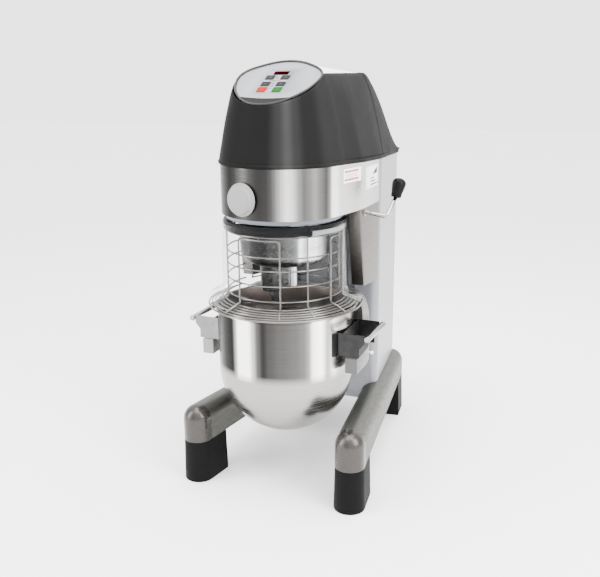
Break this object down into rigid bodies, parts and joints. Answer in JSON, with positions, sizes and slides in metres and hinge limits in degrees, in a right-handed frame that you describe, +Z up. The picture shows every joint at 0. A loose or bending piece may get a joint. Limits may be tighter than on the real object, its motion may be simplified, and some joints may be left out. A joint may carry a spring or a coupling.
{
  "type": "commercial stand mixer",
  "caption": "Floor-standing planetary mixer with a wire bowl guard, a lifted round-bottomed bowl, a tilted round control panel and a column on two splayed rails.",
  "frame": {"origin": "on the floor under the middle of the bounding box", "axes": "+Z up, the bowl and panel face -Y, the lever is on the +X side"},
  "size_m": [0.5618, 0.8281, 1.1692],
  "materials": {
    "satin_tube": "satin sheet steel",
    "cast_cap": "metallic grey casting",
    "foot_rubber": "matt black rubber",
    "column_paint": "light blue-grey enamel",
    "brushed_steel": "stainless, brushed round the head",
    "bowl_steel": "stainless, brushed round the bowl",
    "cast_aluminium": "sand cast",
    "hood_plastic": "dark grey, lightly textured",
    "cover_plastic": "light grey moulding",
    "panel_face": "printed membrane",
    "display_glass": "dark red window",
    "circuit_board": "green laminate",
    "key_grey": "dark grey",
    "key_red": "orange red",
    "key_green": "green",
    "machined_steel": "turned and ground",
    "motor_paint": "dark blue enamel",
    "belt_rubber": "matt black",
    "hub_cap_plastic": "warm light grey",
    "black_plastic": "satin black",
    "wire": "polished round wire",
    "clear_plastic": "clear polycarbonate",
    "bracket_steel": "folded plate",
    "chrome": "polished",
    "hammered_paint": "light grey hammered enamel"
  },
  "bodies": {
    "frame": {"base_plate": "column_paint", "cable_gland": "black_plastic", "column_shell": "column_paint", "control_board": "circuit_board", "control_panel": "panel_face", "display_window": "display_glass", "drive_belt": "belt_rubber", "foot_front_left": "foot_rubber", "foot_front_right": "foot_rubber", "foot_rear_left": "foot_rubber", "foot_rear_right": "foot_rubber", "gearbox_housing": "cast_aluminium", "guard_cage_rear": "wire", "guard_ring_rear": "black_plastic", "guide_bar_left": "machined_steel", "guide_bar_right": "machined_steel", "head_ring": "column_paint", "head_skin": "brushed_steel", "hood_front": "hood_plastic", "hood_rear": "hood_plastic", "hub_boss": "brushed_steel", "main_bearing": "machined_steel", "motor": "motor_paint", "neck_cheek_left": "brushed_steel", "neck_cheek_right": "brushed_steel", "panel_bezel": "hood_plastic", "rail_cap_front_left": "cast_cap", "rail_cap_front_right": "cast_cap", "rail_cap_rear_left": "cast_cap", "rail_cap_rear_right": "cast_cap", "rail_left": "satin_tube", "rail_right": "satin_tube", "rear_cover": "column_paint", "ring_gear": "machined_steel", "top_cover": "cover_plastic"},
    "key_display_body": {"key_display": "key_grey"},
    "key_minus_body": {"key_minus": "key_grey"},
    "key_plus_body": {"key_plus": "key_grey"},
    "key_start_body": {"key_start": "key_green"},
    "key_stop_body": {"key_stop": "key_red"},
    "key_timer_body": {"key_timer": "key_grey"},
    "hub_cover": {"hub_cap": "hub_cap_plastic"},
    "planetary": {"planetary_drum": "brushed_steel", "main_shaft": "machined_steel", "large_pulley": "cast_aluminium"},
    "spindle": {"tool_spindle": "machined_steel", "planet_pinion": "machined_steel"},
    "motor_rotor": {"motor_pulley": "machined_steel"},
    "guard": {"guard_ring_front": "black_plastic", "guard_cage_front": "wire", "clear_shield": "clear_plastic"},
    "lift": {"lift_carriage": "machined_steel", "bowl_yoke": "hammered_paint"},
    "bowl_set": {"bowl": "bowl_steel", "bowl_bracket_left": "bracket_steel", "bowl_bracket_right": "bracket_steel", "bowl_handle_left": "chrome", "bowl_handle_right": "chrome"},
    "lever": {"lever_rod": "chrome", "lever_grip": "black_plastic"}
  },
  "joints": [
    {"name": "key_display_press", "type": "slide", "parent": "frame", "child": "key_display_body", "axis": [0, 0.4756, -0.8796], "range_m": [0, 0.0015], "stiffness_N_per_m": 500, "springref_m": -0.002},
    {"name": "key_minus_press", "type": "slide", "parent": "frame", "child": "key_minus_body", "axis": [0, 0.4756, -0.8796], "range_m": [0, 0.0015], "stiffness_N_per_m": 500, "springref_m": -0.002},
    {"name": "key_plus_press", "type": "slide", "parent": "frame", "child": "key_plus_body", "axis": [0, 0.4756, -0.8796], "range_m": [0, 0.0015], "stiffness_N_per_m": 500, "springref_m": -0.002},
    {"name": "key_start_press", "type": "slide", "parent": "frame", "child": "key_start_body", "axis": [0, 0.4756, -0.8796], "range_m": [0, 0.0015], "stiffness_N_per_m": 500, "springref_m": -0.002},
    {"name": "key_stop_press", "type": "slide", "parent": "frame", "child": "key_stop_body", "axis": [0, 0.4756, -0.8796], "range_m": [0, 0.0015], "stiffness_N_per_m": 500, "springref_m": -0.002},
    {"name": "key_timer_press", "type": "slide", "parent": "frame", "child": "key_timer_body", "axis": [0, 0.4756, -0.8796], "range_m": [0, 0.0015], "stiffness_N_per_m": 500, "springref_m": -0.002},
    {"name": "hub_cap_pull", "type": "slide", "parent": "frame", "child": "hub_cover", "axis": [-0.2504, -0.9681, 0], "range_m": [0, 0.03]},
    {"name": "planetary_spin", "type": "hinge", "parent": "frame", "child": "planetary", "pos_m": [-0.0068, -0.2012, 0.8], "axis": [0, 0, 1], "continuous": true},
    {"name": "spindle_spin", "type": "hinge", "parent": "planetary", "child": "spindle", "pos_m": [-0.0183, -0.2601, 0.7], "axis": [0, 0, 1], "continuous": true},
    {"name": "motor_spin", "type": "hinge", "parent": "frame", "child": "motor_rotor", "pos_m": [-0.0068, 0.1988, 0.9], "axis": [0, 0, 1], "continuous": true},
    {"name": "guard_turn", "type": "hinge", "parent": "frame", "child": "guard", "pos_m": [-0.0068, -0.2012, 0.75], "axis": [0, 0, 1], "range_deg": [-100, 0]},
    {"name": "bowl_lift", "type": "slide", "parent": "frame", "child": "lift", "axis": [0, 0, -1], "range_m": [0, 0.075]},
    {"name": "bowl_off", "type": "slide", "parent": "lift", "child": "bowl_set", "axis": [0, -1, 0], "range_m": [0, 0.12]},
    {"name": "lever_turn", "type": "hinge", "parent": "frame", "child": "lever", "pos_m": [0.1832, -0.0892, 0.768], "axis": [1, 0, 0], "range_deg": [0, 60]}
  ],
  "couplings": [
    {"joint": "spindle_spin", "follows": "planetary_spin", "ratio": -3},
    {"joint": "motor_spin", "follows": "planetary_spin", "ratio": 3.2075},
    {"joint": "lever_turn", "follows": "bowl_lift", "rad_per_m": 13.96}
  ]
}
